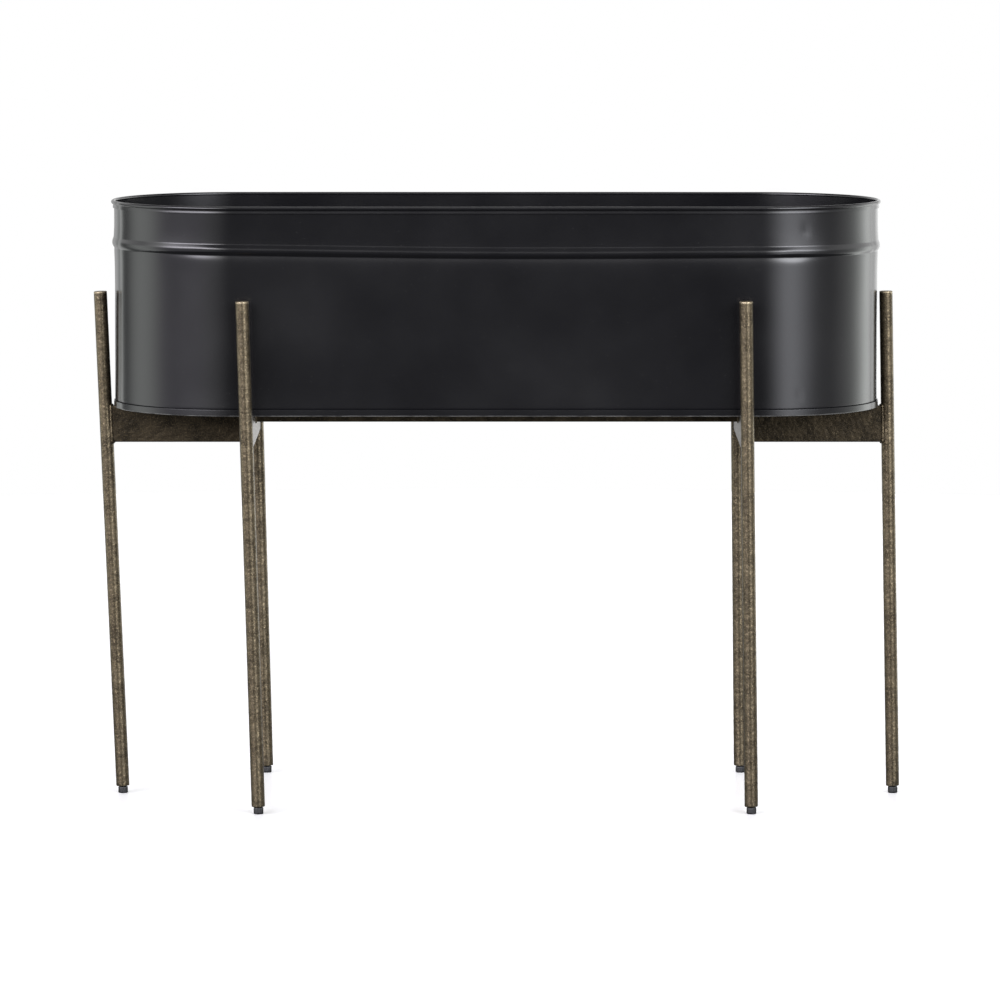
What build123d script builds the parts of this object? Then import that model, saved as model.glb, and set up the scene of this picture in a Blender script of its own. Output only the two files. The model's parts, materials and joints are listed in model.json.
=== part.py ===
from build123d import *
import os
from math import cos, degrees, hypot, radians, sin

# A raised planter: an oval sheet-iron tub that stands in, and lifts out of, a six-legged iron stand.
# Millimetres. +X runs along the tub, -Y is the front, +Z is up.
# The origin is on the floor under the middle of the stand.

# ---- Tub: driving dimensions -------------------------------------------------------------------
tub_length = 940            # over the round ends, outside the plain wall
tub_width = 300             # across the flat sides, outside the plain wall
tub_height = 255            # lower edge to the top of the rolled rim
tub_middle_x = -1.2         # the tub rests this far off the stand's middle, towards the left leg
sheet = 1.0                 # thickness of the sheet iron
fit_gap = 0.05              # gap left between pieces that are pressed or welded together

roll_radius = 2.5           # outside of the rim, where the sheet is rolled round a wire
roll_offset = 1.0           # the roll's centre stands this far outside the plain wall
wire_radius = 1.45
tail_depth = 9.5            # the sheet's edge, tucked down under the roll, ends this far below the top
tail_round = 0.8

bead_below_rim = 54         # the stiffening bead's middle, below the top of the rim
bead_height = 12
bead_proud = 2.2
bead_blend = 2.0            # radius where the bead runs back into the plain wall

hem_height = 8              # the wall's lower edge is folded up outside by this much
hem_round = 0.6
floor_recess = 7            # the floor panel's underside stands this far above the lower edge
floor_edge_round = 1.5

seam_angle = 20             # the two wall sheets meet this many degrees forward of each end's middle
strap_width = 24            # the strap behind each of those joints
strap_clear = 10            # the strap stops this far short of the rim's roll and the floor

# ---- Stand: driving dimensions -----------------------------------------------------------------
leg_diameter = 16.5         # 16 mm tube under its thick hammered coat
leg_wall = 1.5
leg_bottom = 9
leg_top = 625               # this and leg_bottom are measured up the leg from the floor
leg_end_round = 0.8
end_leg_spread = 965        # centre to centre of the two end legs
side_leg_spread = 606       # centre to centre of the side legs, left to right
leg_depth = 344             # centre to centre of the side legs, front to rear

bar_top = 483               # the tub stands on the bars at this height
bar_height = 45
bar_thickness = 10
bar_wall = 1.5
bar_corner = 1.5
stretcher_height = 20
weld_size = 2.5               # leg length of each weld's hollow fillet

cap_height = 3
cap_chamfer = 0.8
spigot_length = 6
insert_length = 14
insert_recess = 0.6         # the threaded insert sits this far up inside the leg

pad_diameter = 12
pad_height = 8
pad_chamfer = 0.8
stem_diameter = 6
stem_above_pad = 25
stem_in_pad = 5
thread_clearance = 0.05     # radial, between the stem and its insert

# ---- Derived sizes -----------------------------------------------------------------------------
end_radius = tub_width / 2
straight_half = tub_length / 2 - end_radius
tub_bottom = bar_top
rim_top = tub_bottom + tub_height
roll_height = rim_top - roll_radius
bead_middle = rim_top - bead_below_rim
floor_underside = tub_bottom + floor_recess

leg_radius = leg_diameter / 2
bore_radius = leg_radius - leg_wall
plug_radius = bore_radius - fit_gap
bar_bottom = bar_top - bar_height
bar_half = bar_thickness / 2
side_x = side_leg_spread / 2
side_y = leg_depth / 2
end_x = end_leg_spread / 2

# Each leg crosses the middle height of the bars at x, y. The welded stand is racked a little: the
# third number is how far that leg's foot stands to the right of that point.
bar_middle = bar_top - bar_height / 2
LEGS = {
    "left_end": (-end_x, 0, 18),
    "right_end": (end_x, 0, 9),
    "front_left": (-side_x, -side_y, 13),
    "front_right": (side_x, -side_y, 6.5),
    "rear_left": (-side_x, side_y, 11),
    "rear_right": (side_x, side_y, 5.5),
}

os.makedirs("parts", exist_ok=True)


def write(piece, name):
    """Label a finished piece and write its STEP file."""
    piece.part.label = name
    export_step(piece.part, f"parts/{name}.step")


def leg_plane(leg, distance):
    """The plane square across a leg, at a distance up its axis from the floor."""
    x, y, foot_shift = leg
    length = hypot(foot_shift, bar_middle)
    up = (-foot_shift / length, 0, bar_middle / length)
    origin = (x + foot_shift + up[0] * distance, y, up[2] * distance)
    return Plane(origin=origin, x_dir=(up[2], 0, -up[0]), z_dir=up)


def leg_axis_x(leg, height):
    """Where a leg's axis stands along X at a height."""
    x, y, foot_shift = leg
    return x + foot_shift * (1 - height / bar_middle)


# ---- Tub walls ---------------------------------------------------------------------------------
def side_plane(x, side):
    """A plane across the tub, x from its middle: local x runs out to the front (-1) or rear (+1)."""
    return Plane(origin=(tub_middle_x + x, 0, 0), x_dir=(0, side, 0), z_dir=(side, 0, 0))


def wall_section(plane):
    """The wall's sheet cut across: folded hem, plain wall, bead, rolled rim and tucked edge."""
    outer = end_radius
    bead_low = bead_middle - bead_height / 2
    bead_high = bead_middle + bead_height / 2
    tail_low = rim_top - tail_depth
    with BuildSketch(plane) as section:
        with Locations((outer - sheet / 2, (tub_bottom + roll_height) / 2)):
            Rectangle(sheet, roll_height - tub_bottom)
        with BuildLine():
            ThreePointArc((outer, bead_low), (outer + bead_proud, bead_middle), (outer, bead_high))
            Line((outer, bead_high), (outer, bead_low))
        make_face()
        with Locations((outer + sheet / 2, tub_bottom + hem_height / 2)):
            Rectangle(sheet, hem_height)
        with Locations((outer + sheet / 2, (tail_low + roll_height) / 2)):
            Rectangle(sheet, roll_height - tail_low)
        bead_ends = section.vertices().filter_by_position(Axis.X, outer - 0.1, outer + 0.1)
        bead_ends = bead_ends.filter_by_position(Axis.Y, bead_low - 1, bead_high + 1)
        fillet(bead_ends, radius=bead_blend)
        proud_corners = section.vertices().filter_by_position(Axis.X, outer + 0.9, outer + 1.1)
        tail_corner = proud_corners.filter_by_position(Axis.Y, tail_low - 0.1, tail_low + 0.1)
        fillet(tail_corner, radius=tail_round)
        hem_corners = proud_corners.filter_by_position(Axis.Y, tub_bottom - 0.1, tub_bottom + 20)
        fillet(hem_corners, radius=hem_round)
        with BuildLine():
            inner = outer - sheet
            ThreePointArc((inner, bead_low), (inner + bead_proud, bead_middle), (inner, bead_high))
            Line((inner, bead_high), (inner, bead_low))
        make_face(mode=Mode.SUBTRACT)
        with Locations((outer + roll_offset, roll_height)):
            Circle(roll_radius)
            Circle(wire_radius + fit_gap, mode=Mode.SUBTRACT)
    return section.sketch


def end_axis(end, direction):
    """The vertical axis of the tub's left (-1) or right (+1) round end."""
    return Axis((tub_middle_x + end * straight_half, 0, 0), (0, 0, direction))


for name, side, arc in (("tub_front_wall", -1, 90 - seam_angle), ("tub_rear_wall", 1, 90 + seam_angle)):
    with BuildPart() as wall:
        extrude(wall_section(side_plane(-side * straight_half, side)), amount=2 * straight_half)
        for end in (-1, 1):
            bend = wall_section(side_plane(end * straight_half, side))
            revolve(bend, axis=end_axis(end, -side * end), revolution_arc=arc)
    write(wall, name)

# The strap behind each joint starts half its width behind the joint and turns towards the front.
strap_arc = degrees(strap_width / (end_radius - sheet))
strap_low = floor_underside + sheet + strap_clear
strap_high = roll_height - roll_radius - strap_clear
for name, end in (("seam_strap_left", -1), ("seam_strap_right", 1)):
    start = radians(-seam_angle + strap_arc / 2)
    outward = (end * cos(start), sin(start), 0)
    strap_plane = Plane(
        origin=(tub_middle_x + end * straight_half, 0, 0),
        x_dir=outward,
        z_dir=Vector(*outward).cross(Vector(0, 0, 1)),
    )
    with BuildPart() as strap:
        with BuildSketch(strap_plane):
            strap_outer = end_radius - sheet - fit_gap
            with Locations((strap_outer - sheet / 2, (strap_low + strap_high) / 2)):
                Rectangle(sheet, strap_high - strap_low)
        revolve(axis=end_axis(end, -end), revolution_arc=strap_arc)
    write(strap, name)

# ---- Rim wire: one closed loop inside the roll ---------------------------------------------------
with BuildPart() as rim_wire:
    for side in (-1, 1):
        with BuildSketch(side_plane(-side * straight_half, side)):
            with Locations((end_radius + roll_offset, roll_height)):
                Circle(wire_radius)
        extrude(amount=2 * straight_half)
    for end in (-1, 1):
        with BuildSketch(side_plane(end * straight_half, -1)):
            with Locations((end_radius + roll_offset, roll_height)):
                Circle(wire_radius)
        revolve(axis=end_axis(end, end), revolution_arc=180)
write(rim_wire, "rim_wire")

# ---- Tub floor: a flat pan with its flange turned down inside the wall ---------------------------
floor_inset = sheet + fit_gap
floor_length = tub_length - 2 * floor_inset
floor_width = tub_width - 2 * floor_inset
floor_plane = Plane(origin=(tub_middle_x, 0, 0), z_dir=(0, 0, 1))
with BuildPart() as tub_floor:
    with BuildSketch(floor_plane.offset(floor_underside)):
        SlotOverall(floor_length, floor_width)
    extrude(amount=sheet)
    with BuildSketch(floor_plane.offset(tub_bottom)):
        SlotOverall(floor_length, floor_width)
        SlotOverall(floor_length - 2 * sheet, floor_width - 2 * sheet, mode=Mode.SUBTRACT)
    extrude(amount=floor_recess)
    fillet(tub_floor.edges().group_by(Axis.Z)[-1], radius=floor_edge_round)
write(tub_floor, "tub_floor")

# ---- Legs: round tube, each with a welded cap and a threaded insert ------------------------------
for name, leg in LEGS.items():
    with BuildPart() as tube:
        with BuildSketch(leg_plane(leg, leg_bottom)):
            Circle(leg_radius)
            Circle(bore_radius, mode=Mode.SUBTRACT)
        extrude(amount=leg_top - cap_height - leg_bottom)
        bottom_edges = tube.edges().filter_by(GeomType.CIRCLE).group_by(Axis.Z)[0]
        fillet(bottom_edges.sort_by(SortBy.RADIUS)[-1], radius=leg_end_round)
    write(tube, f"leg_{name}")

with BuildPart() as leg_top_caps:
    for leg in LEGS.values():
        with BuildSketch(leg_plane(leg, leg_top - cap_height)):
            Circle(leg_radius)
        extrude(amount=cap_height)
        chamfer(leg_top_caps.edges(Select.LAST).group_by(Axis.Z)[-1], length=cap_chamfer)
        with BuildSketch(leg_plane(leg, leg_top - cap_height - spigot_length)):
            Circle(plug_radius)
        extrude(amount=spigot_length)
write(leg_top_caps, "leg_top_caps")

with BuildPart() as foot_inserts:
    for leg in LEGS.values():
        with BuildSketch(leg_plane(leg, leg_bottom + insert_recess)):
            Circle(plug_radius)
            Circle(stem_diameter / 2 + thread_clearance, mode=Mode.SUBTRACT)
        extrude(amount=insert_length)
write(foot_inserts, "foot_inserts")


# ---- Bars: flat tube set on edge, coped round the legs -------------------------------------------
def tube_section(plane, thickness, height):
    """A flat tube cut across, with rounded corners."""
    with BuildSketch(plane) as section:
        RectangleRounded(thickness, height, bar_corner)
        Rectangle(thickness - 2 * bar_wall, height - 2 * bar_wall, mode=Mode.SUBTRACT)
    return section.sketch


def leg_shapes(low, high):
    """The space that the legs take up between two heights, with the weld gap round them."""
    with BuildPart() as shapes:
        for leg in LEGS.values():
            with BuildSketch(leg_plane(leg, low)):
                Circle(leg_radius + fit_gap)
            extrude(amount=high - low)
    return shapes.part


legs_at_bars = leg_shapes(bar_bottom - 10, bar_top + 10)

for name, end in (("end_bar_left", -1), ("end_bar_right", 1)):
    with BuildPart() as end_bar:
        bar_start = Plane(
            origin=(end * (side_x + bar_half), 0, bar_middle), x_dir=(0, 1, 0), z_dir=(end, 0, 0)
        )
        extrude(tube_section(bar_start, bar_thickness, bar_height), amount=end_x - side_x - bar_half)
        add(legs_at_bars, mode=Mode.SUBTRACT)
    write(end_bar, name)

for name, end in (("cross_bar_left", -1), ("cross_bar_right", 1)):
    with BuildPart() as cross_bar:
        bar_start = Plane(origin=(end * side_x, -side_y, bar_middle), x_dir=(1, 0, 0), z_dir=(0, 1, 0))
        extrude(tube_section(bar_start, bar_thickness, bar_height), amount=leg_depth)
        add(legs_at_bars, mode=Mode.SUBTRACT)
    write(cross_bar, name)

stretcher_half = side_x - bar_half
stretcher_middle = bar_top - stretcher_height / 2
with BuildPart() as centre_stretcher:
    bar_start = Plane(
        origin=(-stretcher_half, 0, stretcher_middle), x_dir=(0, 1, 0), z_dir=(1, 0, 0)
    )
    extrude(tube_section(bar_start, bar_thickness, stretcher_height), amount=2 * stretcher_half)
write(centre_stretcher, "centre_stretcher")


# ---- Welds: hollow fillets at every joint of the stand -------------------------------------------
def leg_fillet(plane):
    """A hollow fillet in the corner at the plane's origin, carried on into the leg's round side."""
    with BuildSketch(plane) as section:
        with Locations(((weld_size - weld_overlap) / 2, weld_size / 2)):
            Rectangle(weld_size + weld_overlap, weld_size)
        with Locations((weld_size, weld_size)):
            Circle(weld_size, mode=Mode.SUBTRACT)
    return section.sketch


def upright_fillets(height, corner_x, lean):
    """Four hollow fillets in plan, against the bars' sides, leaning away from (1) or to (-1) X = 0."""
    with BuildSketch(Plane.XY.offset(height)) as section:
        for end in (-1, 1):
            for side in (-1, 1):
                middle = (end * (corner_x + lean * weld_size / 2), side * (bar_half + weld_size / 2))
                far = (end * (corner_x + lean * weld_size), side * (bar_half + weld_size))
                with Locations(middle):
                    Rectangle(weld_size, weld_size)
                with Locations(far):
                    Circle(weld_size, mode=Mode.SUBTRACT)
    return section.sketch


weld_overlap = 3
weld_half = bar_half - bar_corner

with BuildPart() as weld_beads:
    for x, y, foot_shift in LEGS.values():
        away = (Vector(0, -y, 0) if y else Vector(-x, 0, 0)).normalized()
        for height, up in ((bar_top, 1), (bar_bottom, -1)):
            face_point = Vector(leg_axis_x((x, y, foot_shift), height), y, height) + away * leg_radius
            corner = Plane(origin=face_point, x_dir=away, z_dir=away.cross(Vector(0, 0, up)))
            extrude(leg_fillet(corner), amount=weld_half, both=True)
    end_bar_welds = upright_fillets(bar_bottom + bar_corner, side_x + bar_half, 1)
    extrude(end_bar_welds, amount=bar_height - 2 * bar_corner)
    stretcher_welds = upright_fillets(bar_top - stretcher_height + bar_corner, side_x - bar_half, -1)
    extrude(stretcher_welds, amount=stretcher_height - 2 * bar_corner)
    add(legs_at_bars, mode=Mode.SUBTRACT)
write(weld_beads, "weld_beads")

# ---- Levelling feet: a moulded pad, flat on the floor, on a threaded stem in line with its leg ----
for name, leg in LEGS.items():
    stem_start = leg_plane(leg, pad_height - stem_in_pad)
    with BuildPart() as pad:
        with BuildSketch(Plane.XY):
            with Locations((leg_axis_x(leg, 0), leg[1])):
                Circle(pad_diameter / 2)
        extrude(amount=pad_height)
        chamfer(pad.edges().filter_by(GeomType.CIRCLE), length=pad_chamfer)
        with BuildSketch(stem_start):
            Circle(stem_diameter / 2 + fit_gap)
        extrude(amount=2 * stem_in_pad, mode=Mode.SUBTRACT)
    write(pad, f"foot_pad_{name}")

    with BuildPart() as stem:
        with BuildSketch(stem_start):
            Circle(stem_diameter / 2)
        extrude(amount=stem_in_pad + stem_above_pad)
        chamfer(stem.edges().group_by(Axis.Z)[-1], length=pad_chamfer)
    write(stem, f"foot_stem_{name}")
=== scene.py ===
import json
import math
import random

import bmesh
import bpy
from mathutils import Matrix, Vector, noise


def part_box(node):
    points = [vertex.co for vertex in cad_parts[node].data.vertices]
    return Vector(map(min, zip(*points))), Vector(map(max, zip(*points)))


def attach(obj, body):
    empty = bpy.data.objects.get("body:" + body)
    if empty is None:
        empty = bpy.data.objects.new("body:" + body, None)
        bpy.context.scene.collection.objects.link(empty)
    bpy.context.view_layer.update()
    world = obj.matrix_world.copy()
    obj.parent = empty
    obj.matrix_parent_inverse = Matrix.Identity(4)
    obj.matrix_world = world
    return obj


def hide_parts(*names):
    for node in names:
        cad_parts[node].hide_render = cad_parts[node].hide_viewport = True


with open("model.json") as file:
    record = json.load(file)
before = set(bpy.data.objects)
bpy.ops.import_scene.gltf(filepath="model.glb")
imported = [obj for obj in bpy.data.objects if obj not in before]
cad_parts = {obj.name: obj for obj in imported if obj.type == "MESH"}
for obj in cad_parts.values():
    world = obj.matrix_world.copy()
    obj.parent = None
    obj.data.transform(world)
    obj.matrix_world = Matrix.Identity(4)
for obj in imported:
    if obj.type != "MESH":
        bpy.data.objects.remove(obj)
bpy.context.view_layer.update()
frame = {"nodes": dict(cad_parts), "record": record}

# %% [markdown]
# # A raised planter on legs
#
# The real object is a sheet-iron tub, sprayed satin black, that stands in a welded iron stand with an
# antique bronze finish. The loaded frame already holds every part at its real size and place. These
# cells give each part the surface that a workshop leaves on it: folded edges, ripples in thin sheet,
# hammered tube, weld beads and screw threads.

mm = 0.001

# %% [markdown]
# ## The camera
#
# The camera stands well back with a long lens, a little above the rim, so that upright legs stay
# nearly parallel and the far rim just shows. A short lens close by would splay the legs.

# %% Camera
camera_distance = 8.034
camera_height = 1.2212
camera_side = 0.0037
camera_tilt = math.radians(6.080)
camera_lens = 235.2

camera_data = bpy.data.cameras.new("camera")
camera_data.lens = camera_lens
camera_data.sensor_width = 36
camera_data.clip_end = 100
camera = bpy.data.objects.new("camera", camera_data)
camera.location = (camera_side, -camera_distance, camera_height)
camera.rotation_euler = (math.pi / 2 - camera_tilt, 0, 0)
bpy.context.collection.objects.link(camera)
bpy.context.scene.camera = camera
print("camera stands", camera_distance, "m away")


# %% [markdown]
# ## Building materials from nodes
#
# Every finish here is procedural: noise and cell patterns laid out in the part's own space, in
# metres, so that a hammer mark is the same size on a leg as on a bar. A few small helpers keep the
# node code readable: they start a material, add a node with its settings, make soft noise, stretch
# a range, mix two colours and raise a bump.

# %% Node helpers
def new_material(name):
    """A material, its nodes, its shader, and the part's own coordinates in metres."""
    material = bpy.data.materials.new(name)
    material.use_nodes = True
    tree = material.node_tree
    shader = tree.nodes["Principled BSDF"]
    space = tree.nodes.new("ShaderNodeTexCoord")
    return material, tree, shader, space.outputs["Object"]


def add_node(tree, kind, inputs=None, **settings):
    """Adds a node. An input takes either another node's output or a fixed value."""
    node = tree.nodes.new("ShaderNode" + kind)
    for name, value in settings.items():
        setattr(node, name, value)
    for name, value in (inputs or {}).items():
        if isinstance(value, bpy.types.NodeSocket):
            tree.links.new(value, node.inputs[name])
        else:
            node.inputs[name].default_value = value
    return node


def cloud(tree, space, size, detail=3.0, rough=0.5):
    """Soft noise whose blotches are about `size` metres across, from 0 to 1."""
    return add_node(tree, "TexNoise", {"Vector": space, "Scale": 1 / size, "Detail": detail,
                                       "Roughness": rough}).outputs["Fac"]


def span(tree, value, low, high, out_low, out_high):
    """Stretches the part of a value between low and high to out_low to out_high."""
    return add_node(tree, "MapRange", {"Value": value, "From Min": low, "From Max": high,
                                       "To Min": out_low, "To Max": out_high}).outputs["Result"]


def blend(tree, amount, first, second):
    """Mixes two colours by an amount from 0 to 1."""
    node = add_node(tree, "Mix", data_type="RGBA")
    tree.links.new(amount, node.inputs["Factor"])
    for socket, value in (("A", first), ("B", second)):
        plug = [plug for plug in node.inputs if plug.name == socket and plug.type == "RGBA"][0]
        if isinstance(value, bpy.types.NodeSocket):
            tree.links.new(value, plug)
        else:
            plug.default_value = (*value, 1)
    return [plug for plug in node.outputs if plug.type == "RGBA"][0]


def bump(tree, height, depth, previous=None):
    """Raises the surface by `depth` metres where height is 1."""
    node = add_node(tree, "Bump", {"Height": height, "Distance": depth, "Strength": 1.0})
    if previous is not None:
        tree.links.new(previous, node.inputs["Normal"])
    return node.outputs["Normal"]


# %% [markdown]
# ## Satin black enamel
#
# The tub is sprayed and stoved: a thin black coat that hides the grain of the sheet but not its
# waves. Its gloss is broad and soft. Faint orange peel, dust caught in the wet coat and a slight
# change of gloss from hand to hand keep it from looking like plastic. Along the lowest edge of the
# hem a band of lighter grey is painted into the coat, a painted highlight on the hem's rounded edge.

# %% Tub enamel
hem_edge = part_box("tub_front_wall")[0][2]


def make_enamel():
    material, tree, shader, space = new_material("satin_black_enamel")
    handling = cloud(tree, space, 0.16, detail=4)
    tree.links.new(span(tree, handling, 0.3, 0.7, 0.18, 0.26), shader.inputs["Roughness"])
    specks = add_node(tree, "TexVoronoi", {"Vector": space, "Scale": 1 / (9 * mm)}).outputs["Distance"]
    dust = span(tree, specks, 0.035, 0.055, 1.0, 0.0)
    coat = blend(tree, handling, (0.0024, 0.0024, 0.0031), (0.0036, 0.0036, 0.0044))
    dusty = blend(tree, dust, coat, (0.03, 0.03, 0.029))
    height = add_node(tree, "SeparateXYZ", {"Vector": space}).outputs["Z"]
    # A lighter grey band along the hem's lowest edge, broken up by noise: a painted highlight.
    edge = span(tree, height, hem_edge + 0.7 * mm, hem_edge + 1.5 * mm, 1.0, 0.0)
    patchy = span(tree, cloud(tree, space, 0.02, detail=3), 0.4, 0.55, 0.35, 1.0)
    wear_and_painted_highlight = add_node(tree, "Math", {0: edge, 1: patchy}, operation="MULTIPLY").outputs[0]
    tree.links.new(blend(tree, wear_and_painted_highlight, dusty, (0.11, 0.11, 0.105)), shader.inputs["Base Color"])
    shader.inputs["IOR"].default_value = 1.5
    waves = bump(tree, cloud(tree, space, 0.11, detail=1), 0.35 * mm)
    peel = bump(tree, cloud(tree, space, 2.2 * mm, detail=2), 0.006 * mm, waves)
    tree.links.new(peel, shader.inputs["Normal"])
    return material


enamel = make_enamel()
print("made", enamel.name)


# %% [markdown]
# ## Antique bronze over hammered iron
#
# The stand is dark bronze paint on iron that was hammered all over, then rubbed back so that high
# spots show warmer, brighter metal. Cells give the hammer marks and fine noise the pitting. The bars
# under the tub take a darker copy of the finish, which is painted shade, and the leg caps a brighter
# copy, which is painted highlight along their edges.

# %% Stand bronze
hammer_mark = 4.5 * mm


def make_bronze(name, dark, mid, rubbed_colour):
    material, tree, shader, space = new_material(name)
    dents = add_node(tree, "TexVoronoi", {"Vector": space, "Scale": 1 / hammer_mark, "Randomness": 1.0},
                     feature="SMOOTH_F1").outputs["Distance"]
    pits = cloud(tree, space, 1.7 * mm, detail=2, rough=0.55)
    blotch = cloud(tree, space, 0.018, detail=5, rough=0.6)
    patina = blend(tree, span(tree, blotch, 0.38, 0.62, 0, 1), dark, mid)
    wear_and_painted_highlight = span(tree, pits, 0.5, 0.68, 0.0, 0.6)
    colour = blend(tree, wear_and_painted_highlight, patina, rubbed_colour)
    tree.links.new(colour, shader.inputs["Base Color"])
    tree.links.new(span(tree, pits, 0.35, 0.65, 0.44, 0.28), shader.inputs["Roughness"])
    shader.inputs["Metallic"].default_value = 0.85
    hammer = bump(tree, dents, 0.35 * mm)
    tree.links.new(bump(tree, pits, 0.13 * mm, hammer), shader.inputs["Normal"])
    return material


bronze = make_bronze("antique_bronze",
                     (0.045, 0.036, 0.023), (0.095, 0.077, 0.049), (0.27, 0.215, 0.13))
# A darker copy of the leg finish for the bars under the tub: painted shade.
shaded_bar_bronze = make_bronze("antique_bronze_bars_painted_shade",
                         (0.02, 0.016, 0.0105), (0.054, 0.042, 0.026), (0.14, 0.108, 0.063))
# A brighter copy of the leg finish for the caps: painted highlight on their edges.
painted_highlight_bronze = make_bronze("painted_highlight_bronze",
                          (0.16, 0.13, 0.085), (0.3, 0.25, 0.165), (0.6, 0.52, 0.38))
print("made", bronze.name, shaded_bar_bronze.name, painted_highlight_bronze.name)


# %% [markdown]
# ## Small finishes
#
# Moulded black nylon for the foot pads, dull zinc for the screws and plain drawn wire for the loop
# hidden in the rim. Each is one short function, because each has its own grain.

# %% Nylon, zinc and wire
def make_nylon():
    material, tree, shader, space = new_material("moulded_nylon")
    grain = cloud(tree, space, 0.6 * mm, detail=3)
    scuff = span(tree, cloud(tree, space, 3 * mm, detail=4), 0.5, 0.75, 0, 1)
    colour = blend(tree, scuff, (0.004, 0.004, 0.005), (0.016, 0.016, 0.017))
    tree.links.new(colour, shader.inputs["Base Color"])
    tree.links.new(span(tree, grain, 0.3, 0.7, 0.38, 0.55), shader.inputs["Roughness"])
    tree.links.new(bump(tree, grain, 0.03 * mm), shader.inputs["Normal"])
    return material


def make_zinc():
    material, tree, shader, space = new_material("dull_zinc")
    bloom = cloud(tree, space, 2.5 * mm, detail=4)
    colour = blend(tree, bloom, (0.12, 0.115, 0.105), (0.32, 0.31, 0.29))
    tree.links.new(colour, shader.inputs["Base Color"])
    tree.links.new(span(tree, bloom, 0.3, 0.7, 0.3, 0.5), shader.inputs["Roughness"])
    shader.inputs["Metallic"].default_value = 1.0
    tree.links.new(bump(tree, bloom, 0.02 * mm), shader.inputs["Normal"])
    return material


def make_wire():
    material, tree, shader, space = new_material("drawn_wire")
    draw_lines = cloud(tree, space, 1.0 * mm, detail=2)
    colour = blend(tree, draw_lines, (0.3, 0.29, 0.28), (0.45, 0.44, 0.42))
    tree.links.new(colour, shader.inputs["Base Color"])
    tree.links.new(span(tree, draw_lines, 0.3, 0.7, 0.3, 0.45), shader.inputs["Roughness"])
    shader.inputs["Metallic"].default_value = 1.0
    return material


nylon, zinc, wire = make_nylon(), make_zinc(), make_wire()


def finish_cad(node, material):
    """Gives a part that keeps its CAD shape its finish."""
    shape = frame["nodes"][node]
    for slot in shape.material_slots:
        slot.material = material


for node in ("tub_floor", "seam_strap_left", "seam_strap_right"):
    finish_cad(node, enamel)
for node in ("end_bar_left", "end_bar_right", "cross_bar_left", "cross_bar_right", "centre_stretcher"):
    finish_cad(node, shaded_bar_bronze)
finish_cad("rim_wire", wire)
finish_cad("foot_inserts", zinc)
print("finished the parts that keep their CAD shape")


# %% [markdown]
# ## Putting a mesh into the scene
#
# Each piece below is worked out as points and faces, because bent sheet, tube and thread all follow
# simple rules. One helper makes the object, smooths it, tells it which body it rides on, hides the CAD
# part it stands for and gives it its finish.

# %% Mesh helper
sharpest_smooth = math.radians(38)


def make_piece(name, points, faces, material, body, stands_for):
    mesh = bpy.data.meshes.new(name)
    mesh.from_pydata([tuple(point) for point in points], [], faces)
    mesh.validate()
    tidy = bmesh.new()
    tidy.from_mesh(mesh)
    bmesh.ops.recalc_face_normals(tidy, faces=tidy.faces)
    tidy.to_mesh(mesh)
    tidy.free()
    mesh.polygons.foreach_set("use_smooth", [True] * len(mesh.polygons))
    piece = bpy.data.objects.new(name, mesh)
    bpy.context.collection.objects.link(piece)
    mesh.materials.append(material)
    with bpy.context.temp_override(object=piece, active_object=piece, selected_editable_objects=[piece],
                                   selected_objects=[piece]):
        bpy.ops.object.shade_smooth_by_angle(angle=sharpest_smooth)
    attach(piece, body)
    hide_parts(*stands_for)
    print(name, len(points), "points")
    return piece


def grid_faces(rows, columns, first=0, wrap=True):
    """Four-sided faces between successive rings of points."""
    faces = []
    last = columns if wrap else columns - 1
    for row in range(rows - 1):
        for column in range(last):
            after = (column + 1) % columns
            a, b = first + row * columns, first + (row + 1) * columns
            faces.append((a + column, a + after, b + after, b + column))
    return faces


def end_faces(rows, columns, first=0):
    """Flat faces that close the first and the last ring."""
    last = first + (rows - 1) * columns
    return [tuple(first + i for i in range(columns))[::-1], tuple(last + i for i in range(columns))]


# %% [markdown]
# ## The tub's sheet, cut across
#
# The wall is one strip of 1 mm iron. Its lower edge is folded up outside as a hem. A wheel has
# pushed a bead out of it, which also draws the sheet in just beneath. Its upper edge is rolled round
# a wire and tucked down against the wall.
# Drawing the middle of the strip and thickening it to both sides gives real folded layers, with the
# dark lines between them that a solid block would lack.

# %% Section through the wall
sheet = 1.0 * mm
wall_low, wall_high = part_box("tub_front_wall")
tub_bottom, rim_top = wall_low[2], wall_high[2]
roll_outer = 2.5 * mm
roll_middle_out = 1.0 * mm
roll_height = rim_top - roll_outer
wall_middle_out = -sheet / 2
layer_out = 0.55 * mm
wire_low, wire_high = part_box("rim_wire")
wire_reach = roll_middle_out + 1.45 * mm
tub_middle = (wire_low[0] + wire_high[0]) / 2
end_radius = wire_high[1] - wire_reach
straight_half = (wire_high[0] - wire_low[0]) / 2 - wire_reach - end_radius
print("end radius", round(end_radius, 4), "straight half", round(straight_half, 4))

bead_below_rim = 55 * mm
bead_line = rim_top - bead_below_rim
hem_height, tail_depth = 8 * mm, 9.5 * mm


def arc_points(centre, radius, start, end, count):
    """Points round a circle, angles in degrees, in (outward, height) coordinates."""
    return [(centre[0] + radius * math.cos(math.radians(start + (end - start) * i / count)),
             centre[1] + radius * math.sin(math.radians(start + (end - start) * i / count)))
            for i in range(count + 1)]


# (height above the bead's middle, how far the wall stands out there), in millimetres
bead_curve = [(-30, 0), (-22, -0.05), (-17, -0.15), (-13, -0.31), (-10.5, -0.49), (-8.5, -0.7),
              (-7, -0.92), (-6.1, -0.92), (-5.4, -0.4), (-4.6, 0.35), (-3.6, 1.2), (-2.4, 2.02),
              (-1.2, 2.38), (0, 2.45), (1.2, 2.38), (2.2, 2.14), (6.2, 0.34), (6.9, 0.08), (7.6, 0)]


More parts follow.
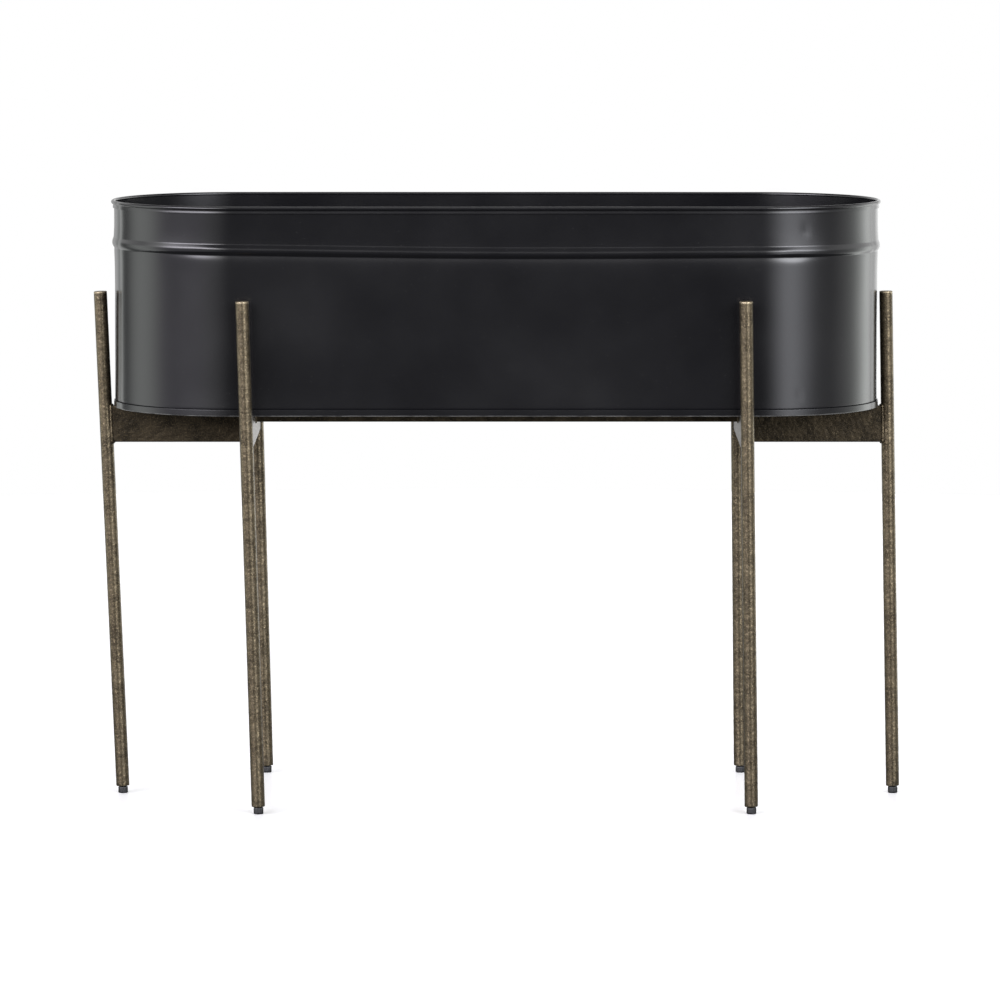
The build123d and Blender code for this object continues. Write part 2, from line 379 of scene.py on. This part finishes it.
def follow(curve, place):
    """Reads a drawn curve at a place, with straight lines between its points."""
    for (left, low), (right, high) in zip(curve, curve[1:]):
        if left <= place < right:
            return low + (high - low) * (place - left) / (right - left)
    return 0


def bead_out(height):
    """The bead: a long slope above, a round nose, a short slope below and a wall drawn in beneath it."""
    place = (height - bead_line) / mm
    return mm * sum(follow(bead_curve, place + shift) for shift in (-0.5, -0.25, 0, 0.25, 0.5)) / 5


def hem_groove(height):
    """The fold of the hem nips the wall in just above its edge."""
    away = (height - (tub_bottom + hem_height - 0.3 * mm)) / (1.5 * mm)
    return 0.6 * mm * math.exp(-away * away)


def row_gap(height):
    """How far up the next point goes: close together where the section curves tightly."""
    if abs(height - bead_line) < 8 * mm:
        return 0.45 * mm
    if height < tub_bottom + 12 * mm:
        return 0.7 * mm
    if 0 < bead_line - height < 32 * mm:
        return 1.5 * mm
    return 6.5 * mm


def wall_middle_line():
    """The strip's middle, from the hem's raw edge, up the wall and round the wire to the tucked edge."""
    hem_out = layer_out + 0.35 * mm
    hem_turn = (hem_out + wall_middle_out) / 2
    hem_radius = (hem_out - wall_middle_out) / 2
    hem_bottom = tub_bottom + sheet / 2 + hem_radius
    line = [(layer_out + opening * mm, tub_bottom + hem_height - step * mm)
            for step, opening in ((0, 0.3), (0.4, 0.34), (1.1, 0.35), (2.2, 0.35), (4.0, 0.35), (5.5, 0.35))]
    line += arc_points((hem_turn, hem_bottom), hem_radius, 0, -180, 8)
    height = tub_bottom + 4 * mm
    roll_start = 221.4
    neck = roll_height + (roll_outer - sheet / 2) * math.sin(math.radians(roll_start)) - 1.2 * mm
    while height < neck:
        line.append((wall_middle_out + bead_out(height) - hem_groove(height), height))
        height += row_gap(height)
    line += arc_points((roll_middle_out, roll_height), roll_outer - sheet / 2, roll_start, -98, 22)
    tuck = roll_height - roll_outer - 0.8 * mm
    line += [(layer_out + 0.1 * mm, tuck), (layer_out + 0.2 * mm, tuck - 1.0 * mm),
             (layer_out + 0.4 * mm, tuck - 2.2 * mm), (layer_out + 0.45 * mm, tuck - 3.2 * mm),
             (layer_out + 0.35 * mm, rim_top - tail_depth)]
    return line


def thicken(line, thickness):
    """The two sides of a strip, from its middle line."""
    left, right = [], []
    for index, (out, height) in enumerate(line):
        before, after = line[max(index - 1, 0)], line[min(index + 1, len(line) - 1)]
        along = Vector((after[0] - before[0], after[1] - before[1])).normalized()
        across = Vector((-along.y, along.x)) * thickness / 2
        left.append((out + across.x, height + across.y))
        right.append((out - across.x, height - across.y))
    return left, right


strip_left, strip_right = thicken(wall_middle_line(), sheet)
print("the strip has", len(strip_left), "points along each side")

# %% [markdown]
# ## Bending the sheet round the tub
#
# Two strips go round the oval, one for the front and one that runs round both ends from the rear.
# They are thin, so they are never true: long shallow waves run through the flats, the rim dips by a
# fraction of a millimetre, the bead wanders up and down, and the sheet pinches in where the two
# joints are welded. The right end has two small knocks, and each end has a broad hollow under the
# bead. These are real moves of the mesh, not a painted pattern.

# %% Walls of the tub
seam_angle = 20
# end of the tub (1 right, -1 left), degrees round from the front, height, reach round, reach up, depth
knocks = [(1, 21.5, rim_top - 29 * mm, 4.5 * mm, 4 * mm, 1.0 * mm),
          (1, 18.5, tub_bottom + 25 * mm, 3.5 * mm, 3.5 * mm, 0.6 * mm),
          (1, 16, bead_line - 5.5 * mm, 17 * mm, 6 * mm, 0.8 * mm),
          (-1, 16, bead_line - 2.5 * mm, 20 * mm, 6 * mm, 0.4 * mm)]


def stations(side, end_arc, arc_step=1.6, flat_step=8 * mm):
    """Where the section stands round the oval: (centre x, outward direction), left seam to right."""
    places = []
    arc_count = round(end_arc / arc_step)
    for index in range(arc_count + 1):
        turn = math.radians(end_arc * (1 - index / arc_count))
        places.append((-straight_half, Vector((-math.sin(turn), side * math.cos(turn), 0))))
    flat_count = round(2 * straight_half / flat_step)
    for index in range(1, flat_count):
        places.append((-straight_half + 2 * straight_half * index / flat_count, Vector((0, side, 0))))
    for index in range(arc_count + 1):
        turn = math.radians(end_arc * index / arc_count)
        places.append((straight_half, Vector((math.sin(turn), side * math.cos(turn), 0))))
    return places


def sheet_waves(point, height):
    """How far the thin sheet strays from true at a place, in metres."""
    low = noise.noise(Vector((point.x * 4.1, point.y * 4.1 + 3.7, height * 6.0)))
    fine = noise.noise(Vector((point.x * 13 + 9.1, point.y * 13, height * 15.0)))
    held = min(1, (height - tub_bottom) / (30 * mm), max(0, (rim_top - height) / (30 * mm)))
    return (0.6 * mm * low + 0.3 * mm * fine - 0.2 * mm) * max(0, held)


def knock_depth(centre_x, outward, height):
    """How far the knocks push the wall in at a place."""
    total = 0
    for end, angle, knock_height, reach_round, reach_up, depth in knocks:
        if outward.y > 0 or centre_x * end < 0:
            continue
        turn = math.atan2(end * outward.x, -outward.y)
        around = (turn - math.radians(angle)) * end_radius - (straight_half - centre_x * end)
        total += depth * math.exp(-(around / reach_round) ** 2 - ((height - knock_height) / reach_up) ** 2)
    return total


def seam_pinch(centre_x, outward):
    """The sheet draws in near the welded joints."""
    if abs(centre_x) < straight_half * 0.999:
        return 0
    turn = math.degrees(math.atan2(abs(outward.x), -outward.y))
    around = math.radians(turn - (90 - seam_angle)) * end_radius
    return 0.55 * mm * math.exp(-(around / (7 * mm)) ** 2)


def end_shoulder(centre_x, outward, height):
    """Rolling the bead round the tight ends drags the sheet out on both sides of it."""
    if abs(centre_x) < straight_half * 0.999:
        return 0
    bend = min(1, abs(outward.x) / 0.6)
    away = (height - bead_line) / (15 * mm)
    return bend * (1.1 * mm * math.exp(-away * away) - 0.35 * bead_out(height))


def bead_drift(x, height):
    """The bead wheel wandered: low in the middle of the flats, and lower at the right than the left."""
    across = max(-1, min(1, (x - tub_middle) / 0.42))
    middle = math.cos(math.pi / 2 * across) ** 2
    away = (height - bead_line) / (22 * mm)
    return (0.8 - 2.0 * across - 3.0 * middle) * mm * math.exp(-away * away)


def rim_dip(point):
    """How far the rim sags at a place."""
    return 0.2 * mm * (1 + noise.noise(Vector((point.x * 5.5, point.y * 5.5, 2.2))))


def make_wall(name, side, end_arc, node):
    """Sweeps the strip's section round half the tub and closes its two upright edges."""
    ring = strip_left + strip_right[::-1]
    places = stations(side, end_arc)
    points = []
    for centre_x, outward in places:
        for out, height in ring:
            reach = end_radius + out
            point = Vector((tub_middle + centre_x, 0, 0)) + outward * reach
            move = sheet_waves(point, height) + end_shoulder(centre_x, outward, height)
            move -= knock_depth(centre_x, outward, height) + seam_pinch(centre_x, outward)
            lift = max(0, (height - (rim_top - 60 * mm)) / (60 * mm))
            point += outward * move
            point.z = height - rim_dip(point) * lift * lift + bead_drift(point.x, height)
            points.append(point)
    faces = grid_faces(len(places), len(ring))
    strip = len(strip_left)
    for first in (0, (len(places) - 1) * len(ring)):
        for index in range(strip - 1):
            faces.append((first + index, first + index + 1,
                          first + len(ring) - 2 - index, first + len(ring) - 1 - index))
    return make_piece(name, points, faces, enamel, "tub", [node])


make_wall("front_wall_sheet", -1, 90 - seam_angle, "tub_front_wall")
make_wall("rear_wall_sheet", 1, 90 + seam_angle, "tub_rear_wall")

# %% [markdown]
# ## Hammered legs
#
# Each leg is plain tube that was hammered along its length before painting, so its outline is never
# quite straight. A lathe-like mesh with many rings is pushed in by cell noise, and a welded cap
# closes the top. A plain cylinder with painted dents would give a dead straight edge.

# %% Legs and caps
LEG_NAMES = ("left_end", "right_end", "front_left", "front_right", "rear_left", "rear_right")
leg_wall = 1.5 * mm
around_leg = 44
ring_gap = 2.2 * mm


def hammered(point, depth):
    """Shallow overlapping hollows about 7 mm across, always inwards."""
    distance = noise.voronoi(point / (7 * mm))[0][0]
    return -depth * (1 - min(1, distance)) ** 1.5


def box_middle(node):
    """The middle of a part's box, and its two corners."""
    low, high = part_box(node)
    return (low + high) / 2, low, high


screw_axes = {joint["name"]: joint["axis"] for joint in frame["record"]["behaviour"]["joints"]}


def leg_line(name):
    """Where a leg's axis meets the floor, and which way it points upwards: the legs lean a little."""
    middle = box_middle(f"foot_pad_{name}")[0]
    return Vector((middle.x, middle.y, 0)), -Vector(screw_axes[f"foot_screw_{name}"]).normalized()


def turned(foot, up, outline, count, shape=None):
    """Points of a turned piece: outline is (radius, distance up the axis from its foot)."""
    side = Vector((0, 1, 0)).cross(up).normalized()
    points = []
    for radius, distance in outline:
        for step in range(count):
            angle = 2 * math.pi * step / count
            direction = side * math.cos(angle) + up.cross(side) * math.sin(angle)
            point = foot + up * distance + direction * radius
            if shape is not None:
                point += direction * shape(point, radius, distance, angle)
            points.append(point)
    return points


def leg_radius(name):
    """The legs lean only to the side, so a leg's depth is its tube's diameter."""
    low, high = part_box(f"leg_{name}")
    return (high[1] - low[1]) / 2


leg_bottom, tube_top, cap_top = 9 * mm, 622 * mm, 625 * mm


def make_leg(name):
    """An open tube, in one loop: down the bore, round the bottom edge and up the outside."""
    foot, up = leg_line(name)
    radius = leg_radius(name)
    bore = radius - leg_wall
    edge = 0.8 * mm
    outline = [(bore, tube_top), (bore, leg_bottom + edge), (bore + 0.3 * mm, leg_bottom)]
    outline += [(radius - edge + edge * math.sin(turn), leg_bottom + edge - edge * math.cos(turn))
                for turn in (0, math.pi / 8, math.pi / 4, 3 * math.pi / 8, math.pi / 2)]
    rings = round((tube_top - leg_bottom - 2 * edge) / ring_gap)
    outline += [(radius, leg_bottom + edge + (tube_top - leg_bottom - edge) * (index + 1) / rings)
                for index in range(rings)]

    def shape(point, ring_radius, distance, angle):
        return hammered(point, 0.14 * mm) if ring_radius > radius - 0.05 * mm else 0

    points = turned(foot, up, outline, around_leg, shape)
    faces = grid_faces(len(outline), around_leg)
    last = (len(outline) - 1) * around_leg
    faces += [(last + i, last + (i + 1) % around_leg, (i + 1) % around_leg, i) for i in range(around_leg)]
    return make_piece(f"leg_{name}_tube", points, faces, bronze, "stand", [f"leg_{name}"])


for name in LEG_NAMES:
    make_leg(name)


def make_caps():
    """Slightly domed discs, ground back at the edge, one on each leg."""
    points, faces = [], []
    for name in LEG_NAMES:
        foot, up = leg_line(name)
        radius = leg_radius(name)
        bore = radius - leg_wall - 0.1 * mm
        outline = [(0.2 * mm, tube_top - 5 * mm), (bore, tube_top - 5 * mm), (bore, tube_top),
                   (radius - 0.3 * mm, tube_top), (radius - 0.05 * mm, tube_top + 0.5 * mm),
                   (radius, cap_top - 1.0 * mm), (radius - 0.25 * mm, cap_top - 0.55 * mm),
                   (radius - 0.9 * mm, cap_top - 0.15 * mm), (radius - 2.2 * mm, cap_top - 0.03 * mm),
                   (radius / 2, cap_top), (0.2 * mm, cap_top)]

        def shape(point, ring_radius, distance, angle):
            return hammered(point, 0.2 * mm) if ring_radius > leg_wall * 3 and distance > tube_top else 0

        first = len(points)
        points += turned(foot, up, outline, around_leg, shape)
        faces += grid_faces(len(outline), around_leg, first)
        faces += end_faces(len(outline), around_leg, first)
    # The caps take the brighter copy of the finish, a painted highlight.
    return make_piece("leg_caps", points, faces, painted_highlight_bronze, "stand", ["leg_top_caps"])


make_caps()

# %% [markdown]
# ## Weld beads
#
# Where a bar meets a leg, the welder runs a bead right round the bar's end. A bead is a rope of
# overlapping puddles: a thick line with a ripple every millimetre or two. It is swept here round the
# bar's outline, wrapped on to the leg's curve, so that it fills the corner as the real one does.

# %% Welds at the legs and between the bars
bar_low, bar_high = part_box("cross_bar_left")
stretcher_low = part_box("centre_stretcher")[0]
bar_top, bar_bottom = bar_high[2], bar_low[2]
bar_half = (bar_high[0] - bar_low[0]) / 2
side_x = abs(bar_high[0] + bar_low[0]) / 2
bead_thick = 1.7 * mm
ripple_gap = 1.6 * mm
around_bead = 10
bead_stand_off = 0.35 * mm


def bar_outline(half_width, low, high, corner=1.5 * mm, step=0.5 * mm):
    """Closely spaced points round a bar's rounded outline: (across, height)."""
    corners = [(half_width - corner, high - corner, 0), (-half_width + corner, high - corner, 90),
               (-half_width + corner, low + corner, 180), (half_width - corner, low + corner, 270)]
    rough = []
    for across, height, start in corners:
        rough += arc_points((across, height), corner, start, start + 90, 5)
    rough.append(rough[0])
    even = []
    for (u0, v0), (u1, v1) in zip(rough, rough[1:]):
        count = max(1, round(math.hypot(u1 - u0, v1 - v0) / step))
        even += [(u0 + (u1 - u0) * i / count, v0 + (v1 - v0) * i / count) for i in range(count)]
    return even


def bead_rope(path, thickness, seed):
    """A rippled rope round a loop of points. Its own axes are carried along, so it doesn't twist."""
    drift = random.Random(seed)
    total = len(path)
    wobble = [drift.uniform(0.92, 1.06) for _ in range(total // 3 + 2)]
    points, travelled = [], 0
    side = None
    for index, point in enumerate(path):
        before, after = path[index - 1], path[(index + 1) % total]
        along = (after - before).normalized()
        if side is None:
            side = along.orthogonal().normalized()
        side = (side - along * side.dot(along)).normalized()
        other = along.cross(side)
        travelled += (point - before).length if index else 0
        phase = (travelled / ripple_gap) % 1
        swell = thickness * (0.88 + 0.16 * math.sin(math.pi * phase)) * wobble[index // 3]
        for step in range(around_bead):
            angle = 2 * math.pi * step / around_bead
            points.append(point + (side * math.cos(angle) + other * math.sin(angle)) * swell)
    return points


def leg_weld_path(name, away):
    """The bar's outline wrapped on to the leg's round side, at the leg's own place at each height."""
    foot, up = leg_line(name)
    radius = leg_radius(name)
    side = Vector((-away.y, away.x, 0))
    bar_middle_height = (bar_top + bar_bottom) / 2
    bar_place = foot + up * (bar_middle_height / up.z)
    path = []
    outline = bar_outline(bar_half + bead_stand_off, bar_bottom - bead_stand_off, bar_top + bead_stand_off)
    for across, height in outline:
        axis = foot + up * (height / up.z)
        sideways = (bar_place - axis).dot(side) + across
        depth = math.sqrt(max(radius ** 2 - sideways ** 2, 0)) + 0.25 * mm
        path.append(axis + away * depth + side * sideways)
    return path


def flat_weld_path(x, half_width, low, high):
    """A bar's outline laid flat on the side of another bar."""
    outline = bar_outline(half_width + bead_stand_off, low - bead_stand_off, high + bead_stand_off)
    return [Vector((x, across, height)) for across, height in outline]


def make_welds():
    """All the loops as one piece, each closed on itself with the least twist."""
    loops = []
    for name in LEG_NAMES:
        foot = leg_line(name)[0]
        if name.endswith("_end"):
            away = Vector((-math.copysign(1, foot.x), 0, 0))
        else:
            away = Vector((0, -math.copysign(1, foot.y), 0))
        loops.append(leg_weld_path(name, away))
    for end in (-1, 1):
        loops.append(flat_weld_path(end * (side_x + bar_half), bar_half, bar_bottom, bar_top))
        loops.append(flat_weld_path(end * (side_x - bar_half), bar_half, stretcher_low[2], bar_top))
    points, faces = [], []
    for seed, path in enumerate(loops):
        first = len(points)
        rope = bead_rope(path, bead_thick, seed)
        points += rope
        faces += grid_faces(len(path), around_bead, first)
        last = first + (len(path) - 1) * around_bead
        start = rope[:around_bead]
        offset = min(range(around_bead), key=lambda k: (rope[-around_bead] - start[k]).length)
        faces += [(last + i, last + (i + 1) % around_bead, first + (i + 1 + offset) % around_bead,
                   first + (i + offset) % around_bead) for i in range(around_bead)]
    return make_piece("weld_ropes", points, faces, bronze, "stand", ["weld_beads"])


make_welds()

# %% [markdown]
# ## Levelling feet
#
# Each foot is a moulded pad with a steel screw up its middle. Shallow flutes let fingers turn it.
# The thread is a real helix, one millimetre for each turn, because the screw's neck shows below the
# leg, and more of it when the foot is wound out.

# %% Foot pads and screws
def make_pad(name):
    """A low pad with a chamfer at both edges and a socket for the screw."""
    middle, low, high = box_middle(f"foot_pad_{name}")
    radius = (high[0] - low[0]) / 2
    stem_radius = 3.05 * mm
    flutes, count = 12, 96
    outline = [(0.3 * mm, low[2] + 0.15 * mm), (radius - 2.2 * mm, low[2]), (radius - 0.9 * mm, low[2]),
               (radius - 0.35 * mm, low[2] + 0.25 * mm), (radius - 0.05 * mm, low[2] + 0.8 * mm),
               (radius, low[2] + 1.6 * mm), (radius, high[2] - 1.6 * mm),
               (radius - 0.05 * mm, high[2] - 0.9 * mm), (radius - 0.4 * mm, high[2] - 0.3 * mm),
               (radius - 1.0 * mm, high[2]), (stem_radius + 0.4 * mm, high[2]),
               (stem_radius, high[2] - 0.3 * mm), (stem_radius, high[2] - 4.9 * mm),
               (0.3 * mm, high[2] - 4.9 * mm)]

    def shape(point, ring_radius, height, angle):
        if ring_radius < radius - 0.5 * mm:
            return 0
        return -0.28 * mm * max(0, math.cos(flutes * angle)) ** 2

    points = turned(Vector((middle.x, middle.y, 0)), Vector((0, 0, 1)), outline, count, shape)
    faces = grid_faces(len(outline), count) + end_faces(len(outline), count)
    return make_piece(f"pad_{name}", points, faces, nylon, f"foot_{name}",
                      [f"foot_pad_{name}"])


thread_pitch = 1.0 * mm
thread_depth = 0.5 * mm


def make_screw(name):
    """A threaded stem along the leg, from inside the pad to well up inside the leg."""
    foot, up = leg_line(name)
    low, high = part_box(f"foot_stem_{name}")
    radius = (high[1] - low[1]) / 2
    bottom, top = 3.1 * mm, 33 * mm
    count = 24
    rows = round((top - bottom) / (thread_pitch / 5))
    outline = [(0.2 * mm, bottom)]
    outline += [(radius, bottom + (top - bottom) * index / rows) for index in range(rows + 1)]
    outline += [(0.2 * mm, top)]

    def shape(point, ring_radius, distance, angle):
        if ring_radius < radius / 2:
            return 0
        turn = ((distance - bottom) / thread_pitch - angle / (2 * math.pi)) % 1
        groove = thread_depth * (1 - abs(2 * turn - 1))
        lead = min(1, (top - distance) / (0.8 * mm))
        return -groove - (1 - lead) * 0.5 * mm

    points = turned(foot, up, outline, count, shape)
    faces = grid_faces(len(outline), count) + end_faces(len(outline), count)
    return make_piece(f"screw_{name}", points, faces, zinc, f"foot_{name}",
                      [f"foot_stem_{name}"])


for name in LEG_NAMES:
    make_pad(name)
    make_screw(name)

# %% [markdown]
# ## Floor
#
# A pale, slightly polished studio floor. Only a faint reflection of the feet is wanted, so its gloss
# is kept low. A disc a few metres across is enough: beyond it the background is the same white.
# The tub would mirror so bright a floor and lose its depth, so there are two discs: the camera sees
# the pale one, and the tub and legs see a dimmer one just under it.

# %% Floor
def floor_disc(name, reach, height, dark, light, glow, gloss):
    """A flat disc, mottled between two greys, that glows a little and mirrors a little."""
    material, tree, shader, space = new_material(name)
    mottle = cloud(tree, space, 0.4, detail=2)
    tree.links.new(blend(tree, mottle, [dark] * 3, [light] * 3), shader.inputs["Base Color"])
    shader.inputs["Roughness"].default_value = 0.3
    shader.inputs["Specular IOR Level"].default_value = gloss
    shader.inputs["Emission Color"].default_value = (1, 1, 1, 1)
    shader.inputs["Emission Strength"].default_value = glow
    mesh = bpy.data.meshes.new(name)
    sides = 96
    points = [(reach * math.cos(2 * math.pi * i / sides), reach * math.sin(2 * math.pi * i / sides), height)
              for i in range(sides)]
    mesh.from_pydata(points, [], [tuple(range(sides))])
    mesh.materials.append(material)
    floor = bpy.data.objects.new(name, mesh)
    bpy.context.collection.objects.link(floor)
    return floor


pale_floor = floor_disc("pale_floor", 3.6, -0.0002, 0.86, 0.9, 0.16, 0.18)
pale_floor.visible_glossy = False
pale_floor.visible_diffuse = False
dim_floor = floor_disc("dim_floor", 1.3, -0.0006, 0.2, 0.24, 0.0, 0.08)
dim_floor.visible_camera = False
print("floor discs", pale_floor.name, dim_floor.name)


# %% [markdown]
# ## Light
#
# Black satin shows only what it mirrors, so the light is planned as a mirror sees it: a ring of walls
# round the object whose brightness changes with the compass angle. A broad pale wall at the left, a
# narrow one forward on the right, a bright one behind on the right and darkness towards the camera
# keep the front of the tub black and its ends shaped. Above them a second ring has two bright panels,
# front left and front right, which draw the fine bright lines on the bead, the rim and the hem.
# Straight overhead is a dim ceiling, which lights the inside of the tub. The camera itself sees plain
# white in place of these walls.

# %% World
# compass angle in degrees, 0 towards the camera and 90 to the right, with the brightness seen there
grey, green, violet, blue = (1, 1, 1), (0.97, 1, 0.975), (1, 0.975, 1.06), (0.98, 0.99, 1.045)
level_ring = [(-180, 0.8, grey), (-165, 0.7, grey), (-152, 1.0, grey), (-141, 1.3, green),
              (-134, 0.4, green), (-126, 0.2, green), (-119, 0.7, green), (-111, 1.4, green),
              (-103, 1.95, green), (-94, 2.15, green), (-86, 2.05, green), (-78, 1.5, grey),
              (-69, 0.9, violet), (-60, 0.7, violet), (-48, 0.82, violet), (-34, 0.8, violet),
              (-24, 0.7, grey), (-14, 0.45, grey), (-5, 0.1, grey), (6, 0.03, grey), (12, 0.4, grey),
              (18, 1.4, blue), (27, 3.0, blue), (35, 2.8, blue), (48, 1.2, blue), (58, 0.5, grey),
              (74, 0.4, grey), (88, 0.8, grey), (102, 1.3, green), (112, 2.2, green),
              (126, 3.7, green), (143, 1.5, grey)]
high_ring = [(-180, 0.8, grey), (-100, 1.2, grey), (-76, 3, grey), (-60, 11, violet),
             (-26, 13, violet), (-14, 6, grey), (-8, 0.8, grey), (0, 0.05, grey), (8, 0.6, grey),
             (15, 6, grey), (24, 13, blue), (44, 13, blue), (56, 5, blue), (66, 1, grey),
             (100, 1.5, grey), (130, 2, grey), (150, 0.8, grey)]
brightest = 13.0


def ring_ramp(tree, turn, ring):
    """A colour ramp round the compass, scaled so that the brightest panel is 1."""
    ramp = add_node(tree, "ValToRGB", {"Fac": turn})
    stops = ramp.color_ramp.elements
    stops.remove(stops[1])
    for index, (angle, level, tint) in enumerate(ring):
        place = angle / 360 + 0.5
        stop = stops[0] if index == 0 else stops.new(place)
        stop.position = place
        stop.color = (*[level / brightest * part for part in tint], 1)
    return ramp.outputs["Color"]


def make_world():
    world = bpy.data.worlds.new("studio")
    bpy.context.scene.world = world
    world.use_nodes = True
    tree = world.node_tree
    tree.nodes.clear()
    direction = tree.nodes.new("ShaderNodeTexCoord").outputs["Generated"]
    parts = add_node(tree, "SeparateXYZ", {"Vector": direction}).outputs
    forward = add_node(tree, "Math", {0: parts["Y"], 1: -1.0}, operation="MULTIPLY").outputs[0]
    compass = add_node(tree, "Math", {0: parts["X"], 1: forward}, operation="ARCTAN2").outputs[0]
    turn = span(tree, compass, -math.pi, math.pi, 0, 1)
    height = parts["Z"]
    raised = span(tree, height, 0.06, 0.2, 0, 1)
    overhead = span(tree, height, 0.42, 0.58, 0, 1)
    walls = blend(tree, raised, ring_ramp(tree, turn, level_ring), ring_ramp(tree, turn, high_ring))
    ceiling = span(tree, height, 0.84, 0.95, 0.012, 0.1)
    sky = blend(tree, overhead, walls, ceiling)
    studio = add_node(tree, "Background", {"Color": sky, "Strength": brightest})
    seen = add_node(tree, "Background", {"Color": (1, 1, 1, 1), "Strength": 1.0})
    camera_ray = tree.nodes.new("ShaderNodeLightPath").outputs["Is Camera Ray"]
    both = add_node(tree, "MixShader")
    tree.links.new(camera_ray, both.inputs[0])
    tree.links.new(studio.outputs[0], both.inputs[1])
    tree.links.new(seen.outputs[0], both.inputs[2])
    output = tree.nodes.new("ShaderNodeOutputWorld")
    tree.links.new(both.outputs[0], output.inputs["Surface"])
    print("world", world.name, "with", len(level_ring) + len(high_ring), "brightness marks")


make_world()
bpy.context.scene.view_settings.view_transform = "Standard"
